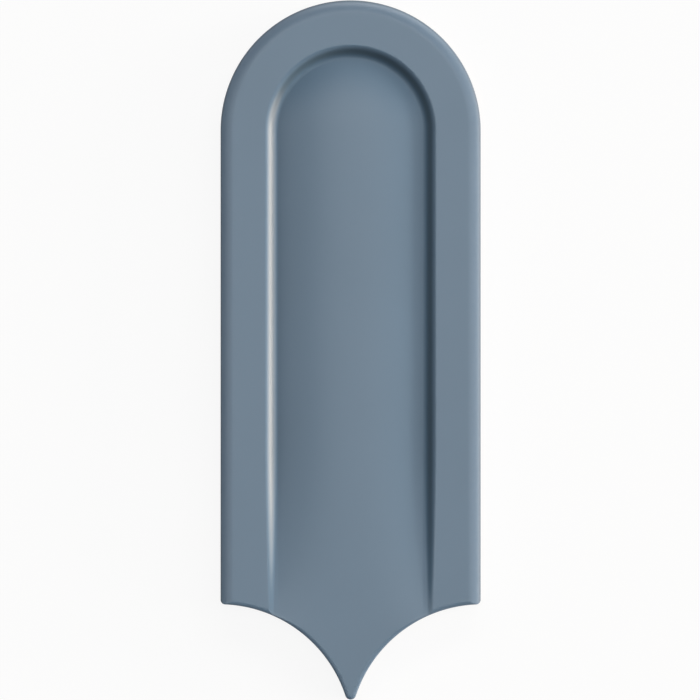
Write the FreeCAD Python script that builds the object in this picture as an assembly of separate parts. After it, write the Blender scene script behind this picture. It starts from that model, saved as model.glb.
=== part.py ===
import FreeCAD, Part
import math
import os

os.makedirs("parts", exist_ok=True)

# A glazed wall tile with a round arched top and a pointed tail, in millimetres.
# It lies on its back: face up (+Z), arch towards +Y, tail tip towards -Y.
# The origin is under the middle of its length and width, on the back plane.

# Outline
LENGTH = 200.0          # top of the arch to the tip of the tail
WIDTH = 74.4            # across the straight sides, which is also the arch's diameter
THICKNESS = 10.0        # back plane to the flat of the rim
JOINT_GAP = 0.7         # grout joint that the tile is shaped for
CORNER_RADIUS = 1.4     # where a straight side turns into the tail
TIP_RADIUS = 1.6        # nose of the tail

# Outer edge: a broad soft fall-off along the sides and the arch, a tight one round the tail
EDGE_WIDTH = 3.7        # width of the soft fall-off beside the flat rim
EDGE_RADIUS = 6.9       # radius of that fall-off
TAIL_EDGE_WIDTH = 1.2   # the same two sizes where the tile was trimmed for the next arch
TAIL_EDGE_RADIUS = 2.2
ARRIS_RADIUS = 0.5      # small round from the fall-off into the upright side
BACK_CHAMFER = 0.5      # pressed bevel round the back

# Sunken field, from the outline inwards
RIM_WIDTH = 12.6        # outline to the lip, with the soft edge in it
WALL_WIDTH = 3.7        # lip to the bottom of the groove, seen from above
GROOVE_WIDTH = 0.7      # bottom of the groove to the shoulder of the cushion
GROOVE_DEPTH = 2.3      # rim to the bottom of the groove
CUSHION_DROP = 2.15     # crown of the cushion, level with the rim, to its shoulder
CUSHION_ROUND = 0.4     # share of that drop that bends evenly; the rest bends near the shoulder

# Run-out of the sunken field towards the tail
RUNOUT_LENGTH = 54.3    # from full depth to none
RUNOUT_OVERSHOOT = 8.6  # how far past the side corners it ends
RUNOUT_EASE = 0.4       # share of the depth that is left late in the run-out

# Keying pattern pressed into the back
BACK_BORDER = 5.0       # plain band round the back
POCKET_SIZE = 9.6       # square pockets
RIB_WIDTH = 2.4         # ribs between the pockets
POCKET_DEPTH = 0.7
SMALLEST_POCKET = 0.25  # share of a full pocket, under which a clipped one is left solid

# What follows from the sizes above
HALF_WIDTH = WIDTH / 2
ARCH_Y = LENGTH / 2 - HALF_WIDTH
TIP_Y = -LENGTH / 2 + TIP_RADIUS
TAIL_RADIUS = HALF_WIDTH + JOINT_GAP
TAIL_X = HALF_WIDTH + JOINT_GAP / 2
TAIL_Y = TIP_Y - math.sqrt((TAIL_RADIUS + TIP_RADIUS) ** 2 - TAIL_X**2)
CORNER_X = HALF_WIDTH - CORNER_RADIUS
CORNER_Y = TAIL_Y + math.sqrt((TAIL_RADIUS + CORNER_RADIUS) ** 2 - (TAIL_X - CORNER_X) ** 2)
LIP = HALF_WIDTH - RIM_WIDTH
GROOVE = LIP - WALL_WIDTH
SHOULDER = GROOVE - GROOVE_WIDTH
RUNOUT_END_Y = CORNER_Y - RUNOUT_OVERSHOOT
RUNOUT_TOP_Y = RUNOUT_END_Y + RUNOUT_LENGTH
SIDE_EDGE = (EDGE_WIDTH, EDGE_RADIUS)
TAIL_EDGE = (TAIL_EDGE_WIDTH, TAIL_EDGE_RADIUS)
CLEAR = 1.0             # how far a cutting solid reaches past the tile

Vector = FreeCAD.Vector
UP = Vector(0, 0, 1)


def spline(poles, knots, mults):
    """A cubic curve in the section plane, as poles with the knots that go with them."""
    return {"poles": poles, "knots": knots, "mults": mults}


def span(start, end, drops):
    """A single cubic span whose four poles lie evenly from start to end."""
    poles = [(start + (end - start) * step / 3, drop) for step, drop in enumerate(drops)]
    return spline(poles, [0, 1], [4, 4])


def mirrored(curve):
    """The same curve on the left half of the section, still running from left to right."""
    poles = [(-x, drop) for x, drop in reversed(curve["poles"])]
    return spline(poles, curve["knots"], curve["mults"])


def half_field_curves():
    """The right half of the sunken field's section, as (x, drop below the rim), out to the lip."""
    bend = CUSHION_ROUND * CUSHION_DROP / 3
    shoulder_slope = (3 * CUSHION_DROP - CUSHION_ROUND * CUSHION_DROP) / SHOULDER
    run_on = CUSHION_DROP + shoulder_slope * GROOVE_WIDTH / 3
    return [
        span(0, SHOULDER, (0, 0, bend, CUSHION_DROP)),
        span(SHOULDER, GROOVE, (CUSHION_DROP, run_on, GROOVE_DEPTH, GROOVE_DEPTH)),
        span(GROOVE, LIP, (GROOVE_DEPTH, GROOVE_DEPTH, 0, 0)),
    ]


def field_curves():
    """The whole section from lip to lip, with the cushion as one curve over the middle."""
    _, groove, wall = half_field_curves()
    bend = CUSHION_ROUND * CUSHION_DROP / 3
    inner = SHOULDER * 2 / 3
    cushion = spline(
        [(-SHOULDER, CUSHION_DROP), (-inner, bend), (0, -bend), (inner, bend), (SHOULDER, CUSHION_DROP)],
        [0, 1, 2],
        [4, 1, 4],
    )
    return [mirrored(wall), mirrored(groove), cushion, groove, wall]


def section_edge(curve, y):
    """A section curve as an edge standing in the plane across the tile at y."""
    edge = Part.BSplineCurve()
    poles = [Vector(x, y, THICKNESS - drop) for x, drop in curve["poles"]]
    edge.buildFromPolesMultsKnots(poles, curve["mults"], curve["knots"], False, 3)
    return edge.toShape()


def arc_edge(centre, radius, start_angle, end_angle, place):
    """An arc in the section plane. place turns (distance, height) into a point."""
    angles = (start_angle, (start_angle + end_angle) / 2, end_angle)
    points = [
        place(centre[0] + radius * math.cos(a), centre[1] + radius * math.sin(a)) for a in angles
    ]
    return Part.Arc(*points).toShape()


def edge_profile(place, fall, room=math.inf):
    """The outer edge from the back up to the rim, as edges.

    Distances run inwards from the outline, and place puts a (distance, height) in space.
    The fall-off stops at room, because a tight corner may not have space for all of it.
    """
    width, radius = fall
    fall_centre = (width, THICKNESS - radius)
    inner = radius - ARRIS_RADIUS
    arris_height = fall_centre[1] + math.sqrt(inner**2 - (width - ARRIS_RADIUS) ** 2)
    arris_centre = (ARRIS_RADIUS, arris_height)
    meet = math.atan2(arris_height - fall_centre[1], ARRIS_RADIUS - width)
    end = math.acos(min(room - width, 0) / radius)
    return [
        Part.makeLine(place(BACK_CHAMFER, 0), place(0, BACK_CHAMFER)),
        Part.makeLine(place(0, BACK_CHAMFER), place(0, arris_height)),
        arc_edge(arris_centre, ARRIS_RADIUS, math.pi, meet, place),
        arc_edge(fall_centre, radius, meet, end, place),
    ]


def profile_end(edges):
    return edges[-1].Vertexes[-1].Point


def line_through(points):
    return [Part.makeLine(a, b) for a, b in zip(points, points[1:])]


def arched_end():
    """The round top: half of the section, turned half round about the arch's centre."""

    def place(inward, height):
        return Vector(HALF_WIDTH - inward, ARCH_Y, height)

    floor = [section_edge(curve, ARCH_Y) for curve in half_field_curves()]
    rim = Part.makeLine(Vector(LIP, ARCH_Y, THICKNESS), place(EDGE_WIDTH, THICKNESS))
    back = line_through([place(BACK_CHAMFER, 0), Vector(0, ARCH_Y, 0), Vector(0, ARCH_Y, THICKNESS)])
    outline = Part.Wire(Part.__sortEdges__(floor + [rim] + edge_profile(place, SIDE_EDGE) + back))
    return Part.Face(outline).revolve(Vector(0, ARCH_Y, 0), UP, 180)


def field_surface(curve, y_start, y_end, fades):
    """One strip of the sunken field. Its depth is scaled by fades on the way from y_start to y_end."""
    degree = len(fades) - 1
    poles = []
    for x, drop in curve["poles"]:
        row = []
        for step, fade in enumerate(fades):
            y = y_start + (y_end - y_start) * step / degree
            row.append(Vector(x, y, THICKNESS - drop * fade))
        poles.append(row)
    surface = Part.BSplineSurface()
    ends = [degree + 1, degree + 1]
    surface.buildFromPolesMultsKnots(
        poles, curve["mults"], ends, curve["knots"], [0, 1], False, False, 3, degree
    )
    return surface.toShape()


def straight_block(y_start, y_end, fades):
    """A stretch of the tile between two planes across it, sewn from its own faces."""
    along = Vector(0, y_end - y_start, 0)

    def right(inward, height):
        return Vector(HALF_WIDTH - inward, y_start, height)

    def left(inward, height):
        return Vector(inward - HALF_WIDTH, y_start, height)

    lips = (Vector(LIP, y_start, THICKNESS), Vector(-LIP, y_start, THICKNESS))
    swept = edge_profile(right, SIDE_EDGE) + edge_profile(left, SIDE_EDGE)
    swept.append(Part.makeLine(lips[0], right(EDGE_WIDTH, THICKNESS)))
    swept.append(Part.makeLine(lips[1], left(EDGE_WIDTH, THICKNESS)))
    swept.append(Part.makeLine(left(BACK_CHAMFER, 0), right(BACK_CHAMFER, 0)))
    sides = [edge.extrude(along) for edge in swept]
    field = [field_surface(curve, y_start, y_end, fades) for curve in field_curves()]
    open_shell = Part.Shell(sides + field)
    open_shell.sewShape()
    ends = []
    for y in (y_start, y_end):
        rim = [edge for edge in open_shell.Edges if all(abs(v.Y - y) < 1e-6 for v in edge.Vertexes)]
        rim = [edge for edge in rim if abs(edge.CenterOfMass.y - y) < 1e-6]
        ends.append(Part.Face(Part.Wire(Part.__sortEdges__(rim))))
    shell = Part.Shell(sides + field + ends)
    shell.sewShape()
    return Part.Solid(shell)


def tail_cutter(side):
    """What the neighbouring arch takes out of the tail on one side, edge shape and all."""
    centre = Vector(side * TAIL_X, TAIL_Y, 0)

    def place(inward, height):
        return centre + Vector(TAIL_RADIUS + inward, 0, height)

    profile = edge_profile(place, TAIL_EDGE)
    top = THICKNESS + CLEAR
    around = line_through(
        [
            place(TAIL_EDGE_WIDTH, THICKNESS),
            place(TAIL_EDGE_WIDTH, top),
            centre + Vector(0, 0, top),
            centre + Vector(0, 0, -CLEAR),
            place(BACK_CHAMFER + CLEAR, -CLEAR),
            place(BACK_CHAMFER, 0),
        ]
    )
    outline = Part.Wire(Part.__sortEdges__(profile + around))
    return Part.Face(outline).revolve(centre, UP, 360)


def nose_cutter(centre, radius, start_angle, sweep):
    """Rounds a convex corner of the outline over the given sweep, with the tail's edge shape."""
    outer = radius + TAIL_EDGE_WIDTH

    def place(inward, height):
        return centre + Vector(radius - inward, 0, height)

    profile = edge_profile(place, TAIL_EDGE, room=radius)
    inner_top = profile_end(profile)
    top = THICKNESS + CLEAR
    around = line_through(
        [
            inner_top,
            centre + Vector(0, 0, top),
            centre + Vector(outer, 0, top),
            centre + Vector(outer, 0, -CLEAR),
            place(BACK_CHAMFER + CLEAR / 2, -CLEAR),
            place(BACK_CHAMFER, 0),
        ]
    )
    outline = Part.Wire(Part.__sortEdges__(profile + around))
    face = Part.Face(outline)
    face.rotate(centre, UP, start_angle)
    return face.revolve(centre, UP, sweep)


def back_pockets():
    """The keying pattern: square pockets clipped to the field inside the plain border."""
    side = HALF_WIDTH - BACK_BORDER
    tail = TAIL_RADIUS + BACK_BORDER
    side_end = TAIL_Y + math.sqrt(tail**2 - (TAIL_X - side) ** 2)
    tip = TAIL_Y + math.sqrt(tail**2 - TAIL_X**2)
    half_turn = (math.atan2(side_end - TAIL_Y, side - TAIL_X) + math.atan2(tip - TAIL_Y, -TAIL_X)) / 2
    bow = Vector(TAIL_X + tail * math.cos(half_turn), TAIL_Y + tail * math.sin(half_turn), 0)
    right = Vector(side, ARCH_Y, 0)
    left = Vector(-side, ARCH_Y, 0)
    right_end = Vector(side, side_end, 0)
    left_end = Vector(-side, side_end, 0)
    point = Vector(0, tip, 0)
    border = [
        Part.Arc(right, Vector(0, ARCH_Y + side, 0), left).toShape(),
        Part.makeLine(left, left_end),
        Part.Arc(left_end, Vector(-bow.x, bow.y, 0), point).toShape(),
        Part.Arc(point, bow, right_end).toShape(),
        Part.makeLine(right_end, right),
    ]
    field = Part.Face(Part.Wire(border)).extrude(UP * POCKET_DEPTH)
    pitch = POCKET_SIZE + RIB_WIDTH
    columns = math.ceil(side / pitch)
    rows = math.ceil((LENGTH / 2) / pitch)
    pockets = []
    for column in range(-columns, columns + 1):
        for row in range(-rows, rows + 1):
            corner = Vector(column * pitch - POCKET_SIZE / 2, row * pitch - POCKET_SIZE / 2, 0)
            square = Part.makeBox(POCKET_SIZE, POCKET_SIZE, POCKET_DEPTH, corner)
            pocket = field.common(square)
            if pocket.Volume > SMALLEST_POCKET * square.Volume:
                pockets.append(pocket)
    return pockets


def wall_tile():
    """The whole tile as one fired piece."""
    blocks = [
        straight_block(ARCH_Y, RUNOUT_TOP_Y, (1, 1)),
        straight_block(RUNOUT_TOP_Y, RUNOUT_END_Y, (1, 1, RUNOUT_EASE, 0)),
        straight_block(RUNOUT_END_Y, -LENGTH / 2, (0, 0)),
    ]
    tile = arched_end().multiFuse(blocks).removeSplitter()

    corner_turn = math.degrees(math.atan2(CORNER_Y - TAIL_Y, TAIL_X - CORNER_X))
    tip_turn = math.degrees(math.atan2(TIP_Y - TAIL_Y, TAIL_X))
    cutters = [
        tail_cutter(1),
        tail_cutter(-1),
        nose_cutter(Vector(CORNER_X, CORNER_Y, 0), CORNER_RADIUS, -corner_turn, corner_turn),
        nose_cutter(Vector(-CORNER_X, CORNER_Y, 0), CORNER_RADIUS, 180, corner_turn),
        nose_cutter(Vector(0, TIP_Y, 0), TIP_RADIUS, 180 + tip_turn, 180 - 2 * tip_turn),
    ]
    tile = tile.cut(cutters)
    return tile.cut(Part.Compound(back_pockets())).Solids[0]


tile = wall_tile()
box = tile.optimalBoundingBox()
print("wall_tile", round(box.XLength, 2), "x", round(box.YLength, 2), "x", round(box.ZLength, 2), "mm")
print("volume", round(tile.Volume / 1000, 1), "cm3, faces", len(tile.Faces), "valid", tile.isValid())
tile.exportStep("parts/wall_tile.step")
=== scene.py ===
# %% [markdown]
# # An arched wall tile with a sunken, cushioned field
# The object is one piece of pressed clay with a satin blue-grey glaze on its face. Its shape is a rule
# from end to end: a section with a rim, a groove and a soft cushion is led up one side, round the arch
# and down the other side, and it fades out towards a pointed tail. So this lesson builds one mesh from
# that rule, gives it a glaze, bare clay below the glaze line and on the back, and lights it softly.

# %% Load the construction model
import math

import bmesh
import bpy
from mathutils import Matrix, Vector


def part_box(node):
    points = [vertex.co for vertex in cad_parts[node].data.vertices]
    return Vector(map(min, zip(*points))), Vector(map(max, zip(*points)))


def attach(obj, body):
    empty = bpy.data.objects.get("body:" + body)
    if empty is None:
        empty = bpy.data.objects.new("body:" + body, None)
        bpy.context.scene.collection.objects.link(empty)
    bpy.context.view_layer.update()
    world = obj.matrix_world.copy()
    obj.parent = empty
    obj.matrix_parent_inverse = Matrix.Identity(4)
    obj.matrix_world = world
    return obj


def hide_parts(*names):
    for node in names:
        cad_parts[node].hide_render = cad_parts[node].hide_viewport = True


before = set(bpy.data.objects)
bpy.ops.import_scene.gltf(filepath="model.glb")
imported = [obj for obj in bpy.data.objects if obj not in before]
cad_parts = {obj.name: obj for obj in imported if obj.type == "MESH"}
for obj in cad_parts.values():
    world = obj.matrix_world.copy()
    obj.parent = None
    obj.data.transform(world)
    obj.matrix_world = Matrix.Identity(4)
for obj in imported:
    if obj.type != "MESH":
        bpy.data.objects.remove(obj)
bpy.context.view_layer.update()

MM = 0.001
low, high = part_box("wall_tile")
LENGTH = -2 * low.y
WIDTH = high.x - low.x
THICKNESS = high.z - low.z
print("tile", [round(v / MM, 2) for v in (WIDTH, LENGTH, THICKNESS)], "mm")

# %% [markdown]
# ## The sizes that the construction model doesn't hand over
# The box of the construction model gives length, width and thickness. The sizes of the section and of
# the tail are repeated here in metres, so that the skin lies exactly where the solid is.

# %% Sizes of the outline, the edge and the section
JOINT_GAP = 0.7 * MM
CORNER_RADIUS = 1.4 * MM
TIP_RADIUS = 1.6 * MM
EDGE_WIDTH = 3.7 * MM
EDGE_RADIUS = 6.9 * MM
TAIL_EDGE_WIDTH = 1.2 * MM
TAIL_EDGE_RADIUS = 2.2 * MM
ARRIS_RADIUS = 0.5 * MM
BACK_CHAMFER = 0.5 * MM
RIM_WIDTH = 12.6 * MM
WALL_WIDTH = 3.7 * MM
GROOVE_WIDTH = 0.7 * MM
GROOVE_DEPTH = 2.3 * MM
CUSHION_DROP = 2.15 * MM
CUSHION_ROUND = 0.4
RUNOUT_LENGTH = 54.3 * MM
RUNOUT_OVERSHOOT = 8.6 * MM
RUNOUT_EASE = 0.4
WALL_TAPER = 0.6  # share of the wall's width that goes with its depth
WALL_LEAN = 0.95  # under 1, the wall lies a little nearer the groove
BACK_BORDER = 5.0 * MM
POCKET_SIZE = 9.6 * MM
RIB_WIDTH = 2.4 * MM
POCKET_DEPTH = 0.7 * MM

HALF_WIDTH = WIDTH / 2
ARCH_Y = LENGTH / 2 - HALF_WIDTH
TIP_Y = -LENGTH / 2 + TIP_RADIUS
TAIL_RADIUS = HALF_WIDTH + JOINT_GAP
TAIL_X = HALF_WIDTH + JOINT_GAP / 2
TAIL_Y = TIP_Y - math.sqrt((TAIL_RADIUS + TIP_RADIUS) ** 2 - TAIL_X**2)
CORNER_X = HALF_WIDTH - CORNER_RADIUS
CORNER_Y = TAIL_Y + math.sqrt((TAIL_RADIUS + CORNER_RADIUS) ** 2 - (TAIL_X - CORNER_X) ** 2)
LIP = HALF_WIDTH - RIM_WIDTH
GROOVE = LIP - WALL_WIDTH
SHOULDER = GROOVE - GROOVE_WIDTH
RUNOUT_END_Y = CORNER_Y - RUNOUT_OVERSHOOT


def arris_of(width, radius):
    """The height where the upright side ends, and how far in the arris meets the fall-off."""
    inner = radius - ARRIS_RADIUS
    height = THICKNESS - radius + math.sqrt(inner**2 - (width - ARRIS_RADIUS) ** 2)
    return height, ARRIS_RADIUS + ARRIS_RADIUS * (ARRIS_RADIUS - width) / inner


ARRIS_HEIGHT, ARRIS_MEET = arris_of(EDGE_WIDTH, EDGE_RADIUS)
TAIL_ARRIS_HEIGHT, TAIL_ARRIS_MEET = arris_of(TAIL_EDGE_WIDTH, TAIL_EDGE_RADIUS)
print("lip, groove and shoulder", [round(v / MM, 1) for v in (LIP, GROOVE, SHOULDER)], "mm from the middle")

# %% [markdown]
# ## The blank
# A clean mesh needs its lines where the form has its edges. So the blank is laid out as one long strip
# of quads that runs up the right side, round the arch and down the left side. Its stations across lie
# close together at the wall, the lip and the outer edge, and wide apart on the flats. At the tail the
# strip's ends are cut to the two hollow arcs, so the outline is exact. The back is closed by a ladder
# of flat rungs from side to side, because one face with hundreds of corners can't be split cleanly
# once the pockets are cut. The blank is flat on top: the relief comes from a rule in a later step.

# %% Stations across the section and along the tile


def steps_to(start, end, step):
    """Even stations after start, up to and with end, about a step apart."""
    count = max(1, round((end - start) / step))
    return [start + (end - start) * i / count for i in range(1, count + 1)]


def edge_stations(width, radius, arris_meet, fall_step):
    """Distances from the outline: close together on the arris, wider on the soft fall-off."""
    meet = math.acos((arris_meet - ARRIS_RADIUS) / ARRIS_RADIUS)
    arris = [ARRIS_RADIUS * (1 + math.cos(a)) for a in steps_to(math.pi, meet, -math.radians(9))]
    start = math.asin((width - arris_meet) / radius)
    fall = [width - radius * math.sin(a) for a in steps_to(start, 0, -math.radians(fall_step))]
    return [0.0] + arris + fall


def across_stations():
    """Distances from the middle line out to the outline."""
    spans = [
        (2 * MM, 0.2 * MM),
        (SHOULDER - 2 * MM, 0.5 * MM),
        (SHOULDER, 0.2 * MM),
        (LIP, 0.1 * MM),
        (LIP + 1.0 * MM, 0.2 * MM),
        (HALF_WIDTH - EDGE_WIDTH - 0.8 * MM, 0.9 * MM),
    ]
    stations = [0.0]
    for end, step in spans:
        stations += steps_to(stations[-1], end, step)
    side_edge = edge_stations(EDGE_WIDTH, EDGE_RADIUS, ARRIS_MEET, 1.6)
    return stations + [HALF_WIDTH - d for d in reversed(side_edge)]


def tail_end(x):
    """How far down the tile reaches at a distance x from its middle line."""
    tip_touch = TIP_RADIUS * TAIL_X / (TAIL_RADIUS + TIP_RADIUS)
    corner_touch = CORNER_X + CORNER_RADIUS * (TAIL_X - CORNER_X) / (TAIL_RADIUS + CORNER_RADIUS)
    if x <= tip_touch:
        return TIP_Y - math.sqrt(TIP_RADIUS**2 - x**2)
    if x >= corner_touch:
        return CORNER_Y - math.sqrt(max(0.0, CORNER_RADIUS**2 - (x - CORNER_X) ** 2))
    return TAIL_Y + math.sqrt(TAIL_RADIUS**2 - (x - TAIL_X) ** 2)


TAIL_ZONE_TOP = -50 * MM
ARCH_STEPS = 120
across = across_stations()
span = TAIL_ZONE_TOP - CORNER_Y
tail_edge = edge_stations(TAIL_EDGE_WIDTH, TAIL_EDGE_RADIUS, TAIL_ARRIS_MEET, 4.0)
shares = [d / span for d in tail_edge]
shares += steps_to(shares[-1], 0.45, 0.012) + steps_to(0.45, 1.0, 0.03)
heights = steps_to(TAIL_ZONE_TOP, -20 * MM, 1.5 * MM) + steps_to(-20 * MM, ARCH_Y, 4 * MM)
print(len(across), "stations across,", 2 * (len(shares) + len(heights)) + ARCH_STEPS, "along")

# %% Lay out the strip and close it with sides and back


def strip_rows():
    """Rows of (x, y) from the right end of the tail, round the arch, to the left end."""
    right = [[(x, tail_end(x) + (TAIL_ZONE_TOP - tail_end(x)) * s) for x in across] for s in shares]
    right += [[(x, y) for x in across] for y in heights]
    arch = []
    for step in range(1, ARCH_STEPS):
        angle = math.pi * step / ARCH_STEPS
        arch.append([(u * math.cos(angle), ARCH_Y + u * math.sin(angle)) for u in across])
    left = [[(-x, y) for x, y in row] for row in reversed(right)]
    return right + arch + left


def outline_loop(rows):
    """The closed outline, from the tip up the right side and round to the tip again."""
    loop = [point for point in rows[0]]
    loop += [row[-1] for row in rows[1:]]
    loop += [point for point in reversed(rows[-1][:-1])]
    return [p for i, p in enumerate(loop) if math.dist(p, loop[i - 1]) > 1e-7]


def inset(loop, distance):
    """The loop moved inwards by a distance. At each point the nearer neighbour steers the direction."""
    points = [Vector(point) for point in loop]
    moved = []
    for i, point in enumerate(points):
        come = point - points[i - 1]
        go = points[(i + 1) % len(points)] - point
        along = (come.normalized() * go.length + go.normalized() * come.length).normalized()
        moved.append((point.x - along.y * distance, point.y + along.x * distance))
    return moved


def build_blank():
    """A closed tile with a flat face, a plain side and a bevelled back."""
    rows = strip_rows()
    mesh = bmesh.new()
    on_face = mesh.verts.layers.float.new("on_face")

    def add(x, y, z, face):
        vertex = mesh.verts.new((x, y, z))
        vertex[on_face] = face
        return vertex

    grid = [[add(x, y, ARRIS_HEIGHT, 1.0) for x, y in row] for row in rows]
    for lower, upper in zip(grid, grid[1:]):
        for i in range(len(across) - 1):
            mesh.faces.new((lower[i], lower[i + 1], upper[i + 1], upper[i]))
    loop = outline_loop(rows)
    foot = inset(loop, BACK_CHAMFER)
    levels = [(loop, ARRIS_HEIGHT), (loop, 0.6 * THICKNESS), (loop, 0.3 * THICKNESS)]
    levels += [(loop, BACK_CHAMFER), (foot, 0.0)]
    rings = []
    for points, z in levels:
        rings.append([add(x, y, z, 1.0 if z == ARRIS_HEIGHT else 0.0) for x, y in points])
    for upper, lower in zip(rings, rings[1:]):
        for i in range(len(loop)):
            mesh.faces.new((upper[i - 1], lower[i - 1], lower[i], upper[i]))
    back = rings[-1]
    for i in range(len(back) // 2):
        rung = dict.fromkeys((back[i], back[-i], back[-i - 1], back[i + 1]))
        mesh.faces.new(list(rung))
    bmesh.ops.remove_doubles(mesh, verts=mesh.verts, dist=1e-7)
    bmesh.ops.recalc_face_normals(mesh, faces=mesh.faces)
    data = bpy.data.meshes.new("blank")
    mesh.to_mesh(data)
    open_edges = sum(1 for edge in mesh.edges if len(edge.link_faces) != 2)
    print("blank:", len(mesh.faces), "faces,", open_edges, "open edges")
    mesh.free()
    return data, loop


blank_mesh, outline = build_blank()
tile = bpy.data.objects.new("tile_glazed", blank_mesh)
bpy.context.scene.collection.objects.link(tile)

# %% [markdown]
# ## Writing a rule as nodes
# Geometry Nodes can hold a formula, but a long formula is dozens of Math nodes. The small class below
# lets a formula be written as ordinary arithmetic: each operation lays down one Math node and hands
# back its output. A tree's sizes are group inputs with names, so they can be changed in the modifier.

# %% A number field that lays down Math nodes


class Field:
    """A number that varies over a mesh. Arithmetic on it adds Math nodes to its tree."""

    def __init__(self, tree, socket):
        self.tree = tree
        self.socket = socket

    def math(self, operation, *others):
        node = self.tree.nodes.new("ShaderNodeMath")
        node.operation = operation
        for slot, value in zip(node.inputs, (self,) + others):
            if isinstance(value, Field):
                self.tree.links.new(value.socket, slot)
            else:
                slot.default_value = value
        return Field(self.tree, node.outputs[0])

    def __add__(self, other):
        return self.math("ADD", other)

    def __sub__(self, other):
        return self.math("SUBTRACT", other)

    def __rsub__(self, other):
        return (self * -1.0).math("ADD", other)

    def __mul__(self, other):
        return self.math("MULTIPLY", other)

    __radd__ = __add__
    __rmul__ = __mul__

    def __truediv__(self, other):
        return self.math("DIVIDE", other)

    def __pow__(self, other):
        return self.math("POWER", other)

    def __lt__(self, other):
        return self.math("LESS_THAN", other)

    def __gt__(self, other):
        return self.math("GREATER_THAN", other)

    def root(self):
        return self.math("MAXIMUM", 0.0).math("SQRT")

    def clamped(self):
        return self.math("MAXIMUM", 0.0).math("MINIMUM", 1.0)

    def switch(self, where, other):
        """This field, but the other one where a mask is 1."""
        return self + (other - self) * where


def new_tree(name, inputs, outputs):
    """A Geometry Nodes tree with named sockets. inputs maps a name to a value or a socket type."""
    tree = bpy.data.node_groups.new(name, "GeometryNodeTree")
    for label, value in inputs.items():
        kind = value if isinstance(value, str) else "NodeSocketFloat"
        socket = tree.interface.new_socket(label, in_out="INPUT", socket_type=kind)
        if kind == "NodeSocketFloat":
            socket.default_value = value
    for label, kind in outputs.items():
        tree.interface.new_socket(label, in_out="OUTPUT", socket_type=kind)
    entry = tree.nodes.new("NodeGroupInput")
    exit_node = tree.nodes.new("NodeGroupOutput")
    return tree, entry, exit_node


def position_fields(tree):
    place = tree.nodes.new("GeometryNodeInputPosition")
    split = tree.nodes.new("ShaderNodeSeparateXYZ")
    tree.links.new(place.outputs[0], split.inputs[0])
    return [Field(tree, socket) for socket in split.outputs]


# %% [markdown]
# ## How far a point lies from the outline, the tail and the middle
# Three distances drive the whole form. The distance from the middle line, or from the arch's centre in
# the round end, shapes the sunken field and the broad outer edge. The distance from the hollow tail
# shapes the tight edge there. The distance from the whole outline tells which pockets fit on the back.
# All three are worked out in one group, because two trees use them.

# %% The group that measures the three distances
OUTLINE_SIZES = {
    "Half Width": HALF_WIDTH,
    "Arch Centre Y": ARCH_Y,
    "Tail Centre X": TAIL_X,
    "Tail Centre Y": TAIL_Y,
    "Tail Radius": TAIL_RADIUS,
    "Corner Centre X": CORNER_X,
    "Corner Centre Y": CORNER_Y,
    "Corner Radius": CORNER_RADIUS,
    "Tip Centre Y": TIP_Y,
    "Tip Radius": TIP_RADIUS,
}


def build_distance_group():
    outputs = {name: "NodeSocketFloat" for name in ("From Outline", "From Tail", "From Middle")}
    tree, entry, exit_node = new_tree("Distance from the outline", OUTLINE_SIZES, outputs)
    size = {name: Field(tree, entry.outputs[name]) for name in OUTLINE_SIZES}
    x, y, _ = position_fields(tree)
    side = x.math("ABSOLUTE")

    def length(a, b):
        return (a * a + b * b).root()

    def turn(a, b, c, d):
        """Which way (c, d) lies from (a, b): above 0 is to the left."""
        return a * d - b * c

    beyond_arch = (y - size["Arch Centre Y"]).math("MAXIMUM", 0.0)
    from_middle = length(x, beyond_arch)
    to_side = size["Half Width"] - from_middle
    to_tail = length(side - size["Tail Centre X"], y - size["Tail Centre Y"]) - size["Tail Radius"]

    corner_x = side - size["Corner Centre X"]
    corner_y = y - size["Corner Centre Y"]
    toward_x = size["Tail Centre X"] - size["Corner Centre X"]
    toward_y = size["Tail Centre Y"] - size["Corner Centre Y"]
    in_corner = (corner_y < 0.0) * (turn(toward_x, toward_y, corner_x, corner_y) > 0.0)
    to_corner = size["Corner Radius"] - length(corner_x, corner_y)
    to_tail = to_tail.switch(in_corner, to_corner)

    tip_y = y - size["Tip Centre Y"]
    down = size["Tail Centre Y"] - size["Tip Centre Y"]
    in_tip = turn(size["Tail Centre X"], down, side, tip_y) < 0.0
    to_tip = size["Tip Radius"] - length(side, tip_y)
    to_tail = to_tail.switch(in_tip, to_tip)

    nearest = to_side.math("MINIMUM", to_tail)
    tree.links.new(nearest.socket, exit_node.inputs["From Outline"])
    tree.links.new(to_tail.socket, exit_node.inputs["From Tail"])
    tree.links.new(from_middle.socket, exit_node.inputs["From Middle"])
    print(tree.name, "has", len(tree.nodes), "nodes")
    return tree


distance_group = build_distance_group()


def use_distance_group(tree):
    """Places the group in another tree with this tile's sizes and gives back its fields."""
    node = tree.nodes.new("GeometryNodeGroup")
    node.node_tree = distance_group
    for name, value in OUTLINE_SIZES.items():
        node.inputs[name].default_value = value
    return [Field(tree, node.outputs[name]) for name in ("From Outline", "From Tail", "From Middle")]


# %% [markdown]
# ## The keying pattern on the back
# The back of a pressed tile has rows of shallow square pockets, so that adhesive grips it. They repeat
# on a grid and stop at a plain border, which makes them a job for Geometry Nodes: a grid of points,
# one flared pocket on each point that lies far enough inside, and an intersection that trims the outer
# ones to the border.

# %% The pocket, the field that it is trimmed to, and the tree
POCKET_CORNER = 0.7 * MM
POCKET_DRAFT = 0.12 * MM
MOUTH_ROUND = 0.15 * MM
TRIM_MARGIN = 2.4 * MM
POCKET_GRID = {"Vertices X": 7, "Vertices Y": 17}
POCKET_SIZES = {"Pitch": POCKET_SIZE + RIB_WIDTH, "Margin": BACK_BORDER - TRIM_MARGIN}


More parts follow.
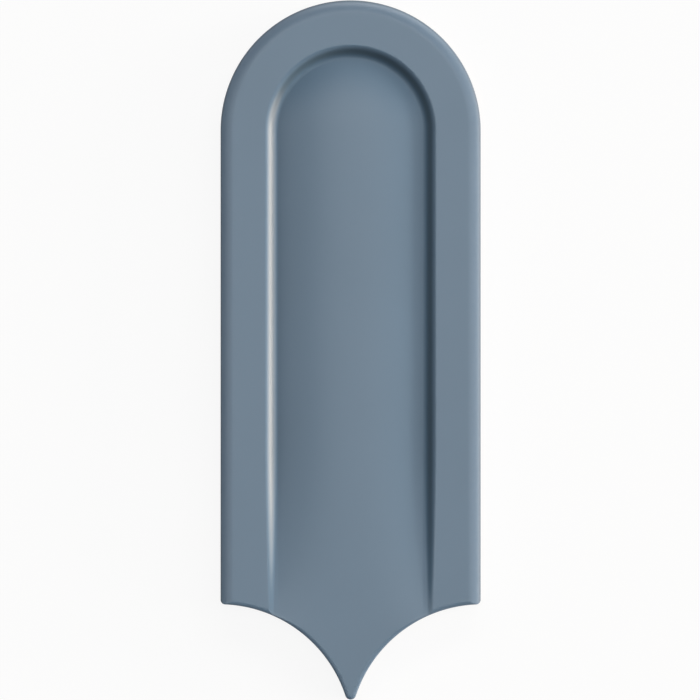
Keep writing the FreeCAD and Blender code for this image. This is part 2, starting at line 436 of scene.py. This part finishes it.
def rounded_square(half, radius, z):
    points = []
    for quarter in range(4):
        middle = math.radians(45 + 90 * quarter)
        corner = Vector((math.cos(middle), math.sin(middle))) * (half - radius) * math.sqrt(2)
        for turn in (-45, 0, 45):
            angle = middle + math.radians(turn)
            points.append((corner.x + radius * math.cos(angle), corner.y + radius * math.sin(angle), z))
    return points


def helper_solid(name, loops):
    """A closed solid through loops of points, for cutting. It is removed after use."""
    mesh = bmesh.new()
    rings = [[mesh.verts.new(point) for point in loop] for loop in loops]
    for lower, upper in zip(rings, rings[1:]):
        for i in range(len(lower)):
            mesh.faces.new((lower[i - 1], lower[i], upper[i], upper[i - 1]))
    mesh.faces.new(list(reversed(rings[0])))
    mesh.faces.new(rings[-1])
    bmesh.ops.recalc_face_normals(mesh, faces=mesh.faces)
    data = bpy.data.meshes.new(name)
    mesh.to_mesh(data)
    mesh.free()
    helper = bpy.data.objects.new(name, data)
    bpy.context.scene.collection.objects.link(helper)
    return helper


def pocket_field_loop():
    """The plain border's inner line: an arch, two sides and two hollow arcs to a point."""
    side = HALF_WIDTH - BACK_BORDER
    tail = TAIL_RADIUS + BACK_BORDER
    side_end = TAIL_Y + math.sqrt(tail**2 - (TAIL_X - side) ** 2)
    tip = TAIL_Y + math.sqrt(tail**2 - TAIL_X**2)
    start = math.atan2(tip - TAIL_Y, -TAIL_X)
    end = math.atan2(side_end - TAIL_Y, side - TAIL_X)
    angles = [start + (end - start) * i / 30 for i in range(31)]
    right = [(TAIL_X + tail * math.cos(a), TAIL_Y + tail * math.sin(a)) for a in angles]
    arch = [(side * math.cos(a), ARCH_Y + side * math.sin(a)) for a in steps_to(0, math.pi, 0.05)]
    left = [(-x, y) for x, y in reversed(right[1:])]
    return right + [(side, ARCH_Y)] + arch + left


pocket_loops = [
    rounded_square(POCKET_SIZE / 2 + 2 * MOUTH_ROUND, POCKET_CORNER, -MOUTH_ROUND),
    rounded_square(POCKET_SIZE / 2, POCKET_CORNER, MOUTH_ROUND),
    rounded_square(POCKET_SIZE / 2 - POCKET_DRAFT, POCKET_CORNER, POCKET_DEPTH - MOUTH_ROUND),
    rounded_square(POCKET_SIZE / 2 - 2.5 * POCKET_DRAFT, POCKET_CORNER, POCKET_DEPTH),
]
pocket = helper_solid("pocket", pocket_loops)
field_outline = pocket_field_loop()
pocket_field = helper_solid(
    "pocket_field",
    [[(x, y, z) for x, y in field_outline] for z in (-2 * MOUTH_ROUND, THICKNESS / 2)],
)


def mesh_boolean(tree, operation, first, second):
    node = tree.nodes.new("GeometryNodeMeshBoolean")
    node.operation = operation
    node.solver = "MANIFOLD"
    if operation == "DIFFERENCE":
        tree.links.new(first, node.inputs["Mesh 1"])
        tree.links.new(second, node.inputs["Mesh 2"])
    else:
        tree.links.new(first, node.inputs["Mesh 2"])
        tree.links.new(second, node.inputs["Mesh 2"])
    return node.outputs["Mesh"]


def build_pocket_group():
    inputs = {"Pocket": "NodeSocketObject", "Field": "NodeSocketObject", **POCKET_SIZES}
    tree, entry, exit_node = new_tree("Pressed pockets", inputs, {"Pockets": "NodeSocketGeometry"})
    grid = tree.nodes.new("GeometryNodeMeshGrid")
    pitch = Field(tree, entry.outputs["Pitch"])
    for way, (label, number) in zip(("Size X", "Size Y"), POCKET_GRID.items()):
        grid.inputs[label].default_value = number
        tree.links.new((pitch * (number - 1.0)).socket, grid.inputs[way])
    from_outline, _, _ = use_distance_group(tree)
    inside = from_outline > Field(tree, entry.outputs["Margin"])
    solids = []
    for name in ("Pocket", "Field"):
        info = tree.nodes.new("GeometryNodeObjectInfo")
        tree.links.new(entry.outputs[name], info.inputs[0])
        solids.append(info.outputs["Geometry"])
    place = tree.nodes.new("GeometryNodeInstanceOnPoints")
    tree.links.new(grid.outputs["Mesh"], place.inputs["Points"])
    tree.links.new(inside.socket, place.inputs["Selection"])
    tree.links.new(solids[0], place.inputs["Instance"])
    realize = tree.nodes.new("GeometryNodeRealizeInstances")
    tree.links.new(place.outputs[0], realize.inputs[0])
    trimmed = mesh_boolean(tree, "INTERSECT", realize.outputs[0], solids[1])
    tree.links.new(trimmed, exit_node.inputs["Pockets"])
    return tree


pocket_group = build_pocket_group()

# %% [markdown]
# ## The relief
# From the middle outwards the face has a cushion that bends down slowly at first and faster towards its
# shoulder, a groove, a steep soft wall up to the lip, and a flat rim. The rim rolls off widely along
# the sides and the arch, and tightly round the tail, where the tile was trimmed to fit the next arch.
# Towards the tail the depth of cushion, groove and wall fades out together, while their lines stay
# where they are. The wall leans a little inwards and narrows as its depth fades, so that it stays
# steep and its highlight runs on. Each of these is one short formula in the tree below. The last ones
# mark where shade is painted on the steep wall and faintly in the groove, where a paler tone goes on
# the edges (partly thinner glaze, partly painted sheen) and on the lip brow (a painted highlight),
# and where the valley of the groove lies.

# %% The tree that raises the face, cuts the back and sets the finishes
RELIEF_SIZES = {
    "Thickness": THICKNESS,
    "Half Width": HALF_WIDTH,
    "Shoulder": SHOULDER,
    "Groove": GROOVE,
    "Lip": LIP,
    "Groove Depth": GROOVE_DEPTH,
    "Cushion Drop": CUSHION_DROP,
    "Cushion Round": CUSHION_ROUND,
    "Run-out End Y": RUNOUT_END_Y,
    "Run-out Length": RUNOUT_LENGTH,
    "Run-out Ease": RUNOUT_EASE,
    "Wall Taper": WALL_TAPER,
    "Wall Lean": WALL_LEAN,
    "Edge Width": EDGE_WIDTH,
    "Edge Radius": EDGE_RADIUS,
    "Arris Radius": ARRIS_RADIUS,
    "Edge Arris Height": ARRIS_HEIGHT,
    "Edge Arris Meet": ARRIS_MEET,
    "Tail Edge Width": TAIL_EDGE_WIDTH,
    "Tail Edge Radius": TAIL_EDGE_RADIUS,
    "Tail Edge Arris Height": TAIL_ARRIS_HEIGHT,
    "Tail Edge Arris Meet": TAIL_ARRIS_MEET,
}
RELIEF_OBJECTS = {"Pocket": pocket, "Pocket Field": pocket_field}
THIN_AND_SHEEN_REACH = 1.05  # in widths of the edge
# The band along the lip brow gets a painted highlight.
LIP_BROW = 0.75 * MM
LIP_SHEEN = 0.3
# The tail's paler edge is partly thinner glaze, partly painted sheen.
TAIL_THIN_AND_SHEEN = 0.6
SHARP_FROM = math.radians(38)
FACES_DOWN = -0.999


def store(tree, geometry, name, field):
    """Keeps a field on the mesh under a name, for the materials to read."""
    node = tree.nodes.new("GeometryNodeStoreNamedAttribute")
    node.inputs["Name"].default_value = name
    tree.links.new(geometry, node.inputs["Geometry"])
    tree.links.new(field.socket, node.inputs["Value"])
    return node.outputs[0]


def set_material(tree, geometry, material, where=None):
    node = tree.nodes.new("GeometryNodeSetMaterial")
    node.inputs["Material"].default_value = material
    tree.links.new(geometry, node.inputs["Geometry"])
    if where:
        tree.links.new(where.socket, node.inputs["Selection"])
    return node.outputs[0]


def build_relief_tree(glaze, clay):
    inputs = {"Blank": "NodeSocketGeometry", **RELIEF_SIZES}
    inputs.update({name: "NodeSocketObject" for name in RELIEF_OBJECTS})
    tree, entry, exit_node = new_tree("Tile relief", inputs, {"Tile": "NodeSocketGeometry"})
    size = {name: Field(tree, entry.outputs[name]) for name in RELIEF_SIZES}
    x, y, z = position_fields(tree)
    _, from_tail, from_middle = use_distance_group(tree)

    def edge_drop(inward, edge):
        """How far an edge lies below the rim, at a distance inwards from its own outline."""
        inward = inward.math("MAXIMUM", 0.0)
        reach = (size[edge + " Width"] - inward).math("MAXIMUM", 0.0)
        radius = size[edge + " Radius"]
        fall = radius - (radius**2.0 - reach * reach).root()
        in_arris = size["Arris Radius"] - inward
        arris_top = size[edge + " Arris Height"] + (size["Arris Radius"] ** 2.0 - in_arris * in_arris).root()
        return fall.switch(inward < size[edge + " Arris Meet"], size["Thickness"] - arris_top)

    q = from_middle / size["Shoulder"]
    round_part = size["Cushion Drop"] * size["Cushion Round"]
    cushion = round_part * q**2.0 + (size["Cushion Drop"] - round_part) * q**3.0

    width = size["Groove"] - size["Shoulder"]
    t = ((from_middle - size["Shoulder"]) / width).clamped()
    rest = 1.0 - t
    fall_at_end = (size["Cushion Drop"] * 3.0 - round_part) / size["Shoulder"]
    handle = size["Cushion Drop"] + fall_at_end * width * (1.0 / 3.0)
    groove = size["Cushion Drop"] * rest**3.0 + handle * t * rest**2.0 * 3.0
    groove = groove + size["Groove Depth"] * (t**2.0 * rest * 3.0 + t**3.0)

    r = 1.0 - ((y - size["Run-out End Y"]) / size["Run-out Length"]).clamped()
    left = 1.0 - r
    fade = left**3.0 + r * left**2.0 * 3.0 + size["Run-out Ease"] * r**2.0 * left * 3.0

    half_wall = (size["Lip"] - size["Groove"]) * 0.5
    narrowed = half_wall * (fade * size["Wall Taper"] + 1.0 - size["Wall Taper"])
    from_wall = (from_middle - size["Groove"] - half_wall) / narrowed
    s = (from_wall * 0.5 + 0.5).clamped() ** size["Wall Lean"]
    wall = size["Groove Depth"] * (1.0 - s * s * (3.0 - s * 2.0))

    drop = cushion.switch(from_middle > size["Shoulder"], groove)
    drop = drop.switch(from_middle > size["Groove"], wall)

    sunk = drop * fade

    side_edge = edge_drop(size["Half Width"] - from_middle, "Edge")
    lowered = sunk.math("MAXIMUM", side_edge).math("MAXIMUM", edge_drop(from_tail, "Tail Edge"))

    combine = tree.nodes.new("ShaderNodeCombineXYZ")
    tree.links.new(x.socket, combine.inputs["X"])
    tree.links.new(y.socket, combine.inputs["Y"])
    tree.links.new((size["Thickness"] - lowered).socket, combine.inputs["Z"])
    on_face = tree.nodes.new("GeometryNodeInputNamedAttribute")
    on_face.inputs["Name"].default_value = "on_face"
    raised = tree.nodes.new("GeometryNodeSetPosition")
    tree.links.new(entry.outputs["Blank"], raised.inputs["Geometry"])
    tree.links.new((Field(tree, on_face.outputs[0]) > 0.5).socket, raised.inputs["Selection"])
    tree.links.new(combine.outputs[0], raised.inputs["Position"])

    pockets = tree.nodes.new("GeometryNodeGroup")
    pockets.node_tree = pocket_group
    for name, value in POCKET_SIZES.items():
        pockets.inputs[name].default_value = value
    tree.links.new(entry.outputs["Pocket"], pockets.inputs["Pocket"])
    tree.links.new(entry.outputs["Pocket Field"], pockets.inputs["Field"])
    skin = set_material(tree, raised.outputs[0], glaze)
    stamp = set_material(tree, pockets.outputs[0], clay)
    cut = mesh_boolean(tree, "DIFFERENCE", skin, stamp)

    upper = z > size["Thickness"] * 0.7
    # Painted shade: a darker tone on the middle of the steep wall, and faintly deep in the groove.
    wall_shade_mask = (s * (1.0 - s) * 4.0) ** 3.0 * fade
    groove_shade_mask = (sunk / size["Groove Depth"]) ** 3.0 * 0.25
    cut = store(tree, cut, "painted_shade", wall_shade_mask.math("MAXIMUM", groove_shade_mask) * upper)
    # A paler tone on the outer fall-off and round the tail: partly thinner glaze, partly painted sheen.
    side_thin_and_sheen = 1.0 - (size["Half Width"] - from_middle) / (size["Edge Width"] * THIN_AND_SHEEN_REACH)
    tail_thin_and_sheen = (1.0 - from_tail / (size["Tail Edge Width"] * THIN_AND_SHEEN_REACH)) * TAIL_THIN_AND_SHEEN
    # Along the lip brow the paler tone is a painted highlight.
    from_brow = (from_middle - (size["Lip"] - LIP_BROW)).math("ABSOLUTE")
    lip_sheen = (1.0 - from_brow / LIP_BROW).clamped() * fade * LIP_SHEEN
    thin_glaze_and_sheen = side_thin_and_sheen.math("MAXIMUM", tail_thin_and_sheen).math("MAXIMUM", lip_sheen).clamped()
    cut = store(tree, cut, "thin_glaze_and_sheen", thin_glaze_and_sheen * upper)
    valley = (t * (1.0 - s) ** 4.0) ** 2.0 * fade
    cut = store(tree, cut, "valley", valley * upper)
    realize = tree.nodes.new("GeometryNodeRealizeInstances")
    tree.links.new(cut, realize.inputs[0])
    under = z < size["Thickness"] * 0.1
    geometry = set_material(tree, realize.outputs[0], clay, under)
    tree.links.new(geometry, exit_node.inputs["Tile"])
    print(tree.name, "has", len(tree.nodes), "nodes")
    return tree


# %% [markdown]
# ## Bare clay, as a group that two finishes share
# Fired clay shows on the back and in a narrow band round the foot of the sides, where no glaze reaches.
# It is pale, dry and slightly sandy. The back's material and the glaze's material both need it, so it
# is a shader group that hands out a colour, a roughness and a height.

# %% The clay group


def shader_group(name, inputs, outputs):
    tree = bpy.data.node_groups.new(name, "ShaderNodeTree")
    for label, value in inputs.items():
        kind = "NodeSocketColor" if isinstance(value, tuple) else "NodeSocketFloat"
        tree.interface.new_socket(label, in_out="INPUT", socket_type=kind).default_value = value
    for label, kind in outputs.items():
        tree.interface.new_socket(label, in_out="OUTPUT", socket_type=kind)
    return tree, tree.nodes.new("NodeGroupInput"), tree.nodes.new("NodeGroupOutput")


def noise(tree, scale, detail=3.0, roughness=0.5):
    """A noise on the object's own coordinates. scale is in lumps per metre."""
    place = tree.nodes.new("ShaderNodeTexCoord")
    node = tree.nodes.new("ShaderNodeTexNoise")
    node.inputs["Scale"].default_value = scale
    node.inputs["Detail"].default_value = detail
    node.inputs["Roughness"].default_value = roughness
    tree.links.new(place.outputs["Object"], node.inputs["Vector"])
    return Field(tree, node.outputs[0])


def mix_colour(tree, factor, first, second):
    node = tree.nodes.new("ShaderNodeMix")
    node.data_type = "RGBA"
    tree.links.new(factor.socket, node.inputs["Factor"])
    for slot, value in zip((node.inputs[6], node.inputs[7]), (first, second)):
        if isinstance(value, tuple):
            slot.default_value = value
        else:
            tree.links.new(value, slot)
    return node.outputs[2]


def build_clay_group():
    inputs = {"Pale": (0.60, 0.50, 0.40, 1.0), "Dark": (0.43, 0.34, 0.26, 1.0), "Grain": 1.0}
    outputs = {"Color": "NodeSocketColor", "Roughness": "NodeSocketFloat", "Height": "NodeSocketFloat"}
    tree, entry, exit_node = shader_group("Bare clay", inputs, outputs)
    cloud = noise(tree, 60.0, detail=4.0)
    sand = noise(tree, 2600.0, detail=2.0)
    specks = ((noise(tree, 900.0, detail=0.0) - 0.68) * 12.0).clamped()
    grain = Field(tree, entry.outputs["Grain"])
    tone = (cloud * 0.9 + sand * 0.35 * grain - 0.2).clamped()
    colour = mix_colour(tree, tone, entry.outputs["Dark"], entry.outputs["Pale"])
    colour = mix_colour(tree, specks * 0.5, colour, entry.outputs["Dark"])
    tree.links.new(colour, exit_node.inputs["Color"])
    tree.links.new((sand * 0.12 + 0.8).socket, exit_node.inputs["Roughness"])
    tree.links.new((sand * grain + cloud).socket, exit_node.inputs["Height"])
    return tree


clay_group = build_clay_group()


def new_material(name):
    material = bpy.data.materials.new(name)
    material.use_nodes = True
    shader = material.node_tree.nodes["Principled BSDF"]
    return material, material.node_tree, shader


def add_bump(tree, shader, height, distance, strength):
    node = tree.nodes.new("ShaderNodeBump")
    node.inputs["Distance"].default_value = distance
    node.inputs["Strength"].default_value = strength
    tree.links.new(height.socket, node.inputs["Height"])
    tree.links.new(node.outputs[0], shader.inputs["Normal"])


def build_clay_material():
    material, tree, shader = new_material("bare_clay")
    node = tree.nodes.new("ShaderNodeGroup")
    node.node_tree = clay_group
    tree.links.new(node.outputs["Color"], shader.inputs["Base Color"])
    tree.links.new(node.outputs["Roughness"], shader.inputs["Roughness"])
    add_bump(tree, shader, Field(tree, node.outputs["Height"]), 0.05 * MM, 0.5)
    return material


clay_material = build_clay_material()

# %% [markdown]
# ## The satin glaze
# The glaze is one even blue-grey, but not a flat colour. A darker, greyer tone on the steep wall, and
# faintly in the groove, is painted shade. Round the tail and on the outer fall-off a paler, warmer tone
# is partly thinner glaze and partly painted sheen, and over the lip it is a painted highlight. The
# glaze is drier at the very arris. It ends above the foot in a slightly wavy line with clay below.
# Its gloss is soft: a satin glaze reflects a lamp as a wide pale band, and in the valley of the groove
# it is duller still. A very low ripple, far finer than the form, keeps it from looking like plastic.

# %% The glaze material
GLAZE_TONE = (0.118, 0.193, 0.274, 1.0)
# Painted shade on the steep wall and in the groove.
PAINTED_SHADE_TONE = (0.080, 0.122, 0.160, 1.0)
# Partly thinner glaze, partly painted sheen on the edges; a painted highlight along the lip brow.
THIN_GLAZE_AND_SHEEN_TONE = (0.190, 0.253, 0.330, 1.0)
GLAZE_ARRIS = (0.130, 0.175, 0.222, 1.0)
GLAZE_LINE = 2.2 * MM
LINE_WANDER = 1.8 * MM
LINE_BLEND = 0.12 * MM
SATIN = 0.33
DRY_ARRIS = 0.4
DULL_VALLEY = 0.35


def build_glaze_material():
    material, tree, shader = new_material("satin_glaze")
    links = tree.links

    def attribute(name):
        node = tree.nodes.new("ShaderNodeAttribute")
        node.attribute_name = name
        return Field(tree, node.outputs["Fac"])

    cloud = noise(tree, 35.0, detail=2.0)
    ripple = noise(tree, 700.0, detail=1.0)
    # Where shade is painted on the wall and in the groove, with a little random spread.
    painted_shade = (attribute("painted_shade") * 0.92 + (cloud - 0.5) * 0.2).clamped()
    # Paler edges: partly thinner glaze, partly painted sheen.
    thin_and_sheen_mask = attribute("thin_glaze_and_sheen")
    thin_glaze_and_sheen = (thin_and_sheen_mask * (0.75 + ripple * 0.4)).clamped()
    on_arris = (thin_and_sheen_mask * 6.0 - 4.9).clamped()
    colour = mix_colour(tree, painted_shade, GLAZE_TONE, PAINTED_SHADE_TONE)
    colour = mix_colour(tree, thin_glaze_and_sheen, colour, THIN_GLAZE_AND_SHEEN_TONE)
    colour = mix_colour(tree, on_arris, colour, GLAZE_ARRIS)

    place = tree.nodes.new("ShaderNodeTexCoord")
    split = tree.nodes.new("ShaderNodeSeparateXYZ")
    links.new(place.outputs["Object"], split.inputs[0])
    height = Field(tree, split.outputs["Z"])
    wander = (noise(tree, 120.0, detail=3.0) - 0.5) * LINE_WANDER
    glazed = ((height + wander - GLAZE_LINE) / LINE_BLEND).clamped()
    clay = tree.nodes.new("ShaderNodeGroup")
    clay.node_tree = clay_group
    links.new(mix_colour(tree, glazed, clay.outputs["Color"], colour), shader.inputs["Base Color"])

    satin = SATIN + (cloud - 0.5) * 0.03 + (ripple - 0.5) * 0.02
    satin = satin + on_arris * DRY_ARRIS + attribute("valley") * DULL_VALLEY
    roughness = Field(tree, clay.outputs["Roughness"]).switch(glazed, satin)
    links.new(roughness.socket, shader.inputs["Roughness"])
    surface = Field(tree, clay.outputs["Height"]) * 0.08 * (1.0 - glazed) + glazed * (ripple * 0.05 + 1.0)
    add_bump(tree, shader, surface, 0.06 * MM, 0.4)
    return material


glaze_material = build_glaze_material()

# %% Raise the relief and turn the result into a plain mesh
relief_tree = build_relief_tree(glaze_material, clay_material)


def apply_relief():
    modifier = tile.modifiers.new("relief", "NODES")
    modifier.node_group = relief_tree
    sockets = {item.name: item.identifier for item in relief_tree.interface.items_tree}
    for name, value in {**RELIEF_SIZES, **RELIEF_OBJECTS}.items():
        modifier[sockets[name]] = value
    depsgraph = bpy.context.evaluated_depsgraph_get()
    finished = bpy.data.meshes.new_from_object(tile.evaluated_get(depsgraph))
    tile.modifiers.remove(modifier)
    tile.data = finished
    finished.name = "tile_glazed"
    finished.shade_smooth()
    finished.set_sharp_from_angle(angle=SHARP_FROM)
    for face in finished.polygons:
        if face.normal.z < FACES_DOWN:
            face.use_smooth = False
    for helper in RELIEF_OBJECTS.values():
        bpy.data.objects.remove(helper)
    finished.calc_loop_triangles()
    print("tile:", len(finished.vertices), "vertices,", len(finished.loop_triangles), "triangles")
    print("materials:", [m.name for m in finished.materials])


apply_relief()
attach(tile, "root")
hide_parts("wall_tile")

# %% [markdown]
# ## Floor, light and camera
# A tile is looked at from straight above, so the floor is the background. It is white to the camera and
# keeps a faint shadow. A low relief only reads in light from the side. So warm lamps stand low on the
# right, like the last sun through a window: they light the left wall of the groove up and leave the
# right wall in shade. Two strips above them carry that highlight on where the wall runs out. Higher,
# larger and weaker lamps fill the flats and the shade. All stand far off, so the light is as even as
# daylight from one end of the tile to the other.

# %% Floor and sky
FLOOR_HALF = 4.0
FLOOR_DROP = 0.02 * MM
PLAIN_WHITE = 0.9
PALE_GREY = (0.9, 0.9, 0.9, 1.0)
SKY_LEVEL = 0.0


def build_floor():
    """White to the camera and in reflections, and for the rest a pale floor that takes a shadow."""
    data = bpy.data.meshes.new("floor")
    h, z = FLOOR_HALF, -FLOOR_DROP
    data.from_pydata([(-h, -h, z), (h, -h, z), (h, h, z), (-h, h, z)], [], [(0, 1, 2, 3)])
    floor = bpy.data.objects.new("floor", data)
    bpy.context.scene.collection.objects.link(floor)
    material, tree, shader = new_material("floor_white")
    shader.inputs["Base Color"].default_value = PALE_GREY
    shader.inputs["Roughness"].default_value = 0.9
    rays = tree.nodes.new("ShaderNodeLightPath")
    seen = Field(tree, rays.outputs["Is Camera Ray"]) + Field(tree, rays.outputs["Is Glossy Ray"])
    seen = (seen + Field(tree, rays.outputs["Is Transmission Ray"])).math("MINIMUM", 1.0)
    white = tree.nodes.new("ShaderNodeEmission")
    white.inputs["Strength"].default_value = 1.0
    mix = tree.nodes.new("ShaderNodeMixShader")
    tree.links.new((seen * PLAIN_WHITE).socket, mix.inputs[0])
    tree.links.new(shader.outputs[0], mix.inputs[1])
    tree.links.new(white.outputs[0], mix.inputs[2])
    output = next(node for node in tree.nodes if node.type == "OUTPUT_MATERIAL")
    tree.links.new(mix.outputs[0], output.inputs["Surface"])
    data.materials.append(material)


def build_sky():
    world = bpy.data.worlds.new("soft_sky")
    bpy.context.scene.world = world
    world.use_nodes = True
    sky = next(node for node in world.node_tree.nodes if node.type == "BACKGROUND")
    sky.inputs["Color"].default_value = (1.0, 1.0, 1.0, 1.0)
    sky.inputs["Strength"].default_value = SKY_LEVEL


build_floor()
build_sky()

# %% Lamps and camera
LAMP_DISTANCE = 6.0
WHITE = (1.0, 1.0, 1.0)
WARM = (1.0, 0.9, 0.8)


def soft_lamp(name, azimuth, elevation, across, upright, glow, colour=WHITE):
    """A flat lamp that faces the tile. Its place and its spread as the tile sees it are in degrees.

    A glow of 1 is as bright to look at as a white sheet.
    """
    a, e = math.radians(azimuth), math.radians(elevation)
    direction = Vector((math.cos(a) * math.cos(e), math.sin(a) * math.cos(e), math.sin(e)))
    data = bpy.data.lights.new(name, "AREA")
    data.shape = "RECTANGLE"
    data.size = 2 * LAMP_DISTANCE * math.tan(math.radians(across) / 2)
    data.size_y = 2 * LAMP_DISTANCE * math.tan(math.radians(upright) / 2)
    data.energy = glow * math.pi * data.size * data.size_y
    data.color = colour
    lamp = bpy.data.objects.new(name, data)
    lamp.location = direction * LAMP_DISTANCE
    lamp.rotation_euler = direction.to_track_quat("Z", "Y").to_euler()
    bpy.context.scene.collection.objects.link(lamp)
    print(name, "energy", round(data.energy, 2), "W")


soft_lamp("low_right", 0, 4, 10, 6, 86.0, WARM)
soft_lamp("key_right", -15, 11, 15, 8, 18.0, WARM)
soft_lamp("key", 15, 11, 15, 8, 41.0, WARM)
soft_lamp("strip_low", 0, 24, 15, 10, 8.7)
soft_lamp("strip_high", 0, 38, 26, 13, 2.4)
soft_lamp("window", 60, 32, 26, 13, 6.6)
soft_lamp("window_top", 90, 40, 26, 13, 5.0)
soft_lamp("over_right", 0, 66, 26, 20, 1.84)
soft_lamp("over_left", 180, 66, 26, 20, 1.98)
soft_lamp("above_right", 0, 78, 20, 20, 0.83)
soft_lamp("above_top", 90, 78, 20, 20, 2.4)
soft_lamp("overhead", 0, 90, 20, 20, 1.93)

PICTURE = 700
TILE_PIXELS = 699.5
PIXEL = LENGTH / TILE_PIXELS
CENTRE_PIXEL = (350.62, 349.97)
CAMERA_HEIGHT = 3.0
SENSOR = 36.0
camera_data = bpy.data.cameras.new("camera")
camera_data.sensor_width = SENSOR
camera_data.lens = SENSOR * (CAMERA_HEIGHT - THICKNESS) / (PICTURE * PIXEL)
camera_data.clip_end = 10.0
camera = bpy.data.objects.new("camera", camera_data)
camera.location = (
    -(CENTRE_PIXEL[0] - PICTURE / 2) * PIXEL,
    (CENTRE_PIXEL[1] - PICTURE / 2) * PIXEL,
    CAMERA_HEIGHT,
)
bpy.context.scene.collection.objects.link(camera)
bpy.context.scene.camera = camera
bpy.context.scene.view_settings.view_transform = "Standard"
print("lens", round(camera_data.lens, 1), "mm at", CAMERA_HEIGHT, "m")
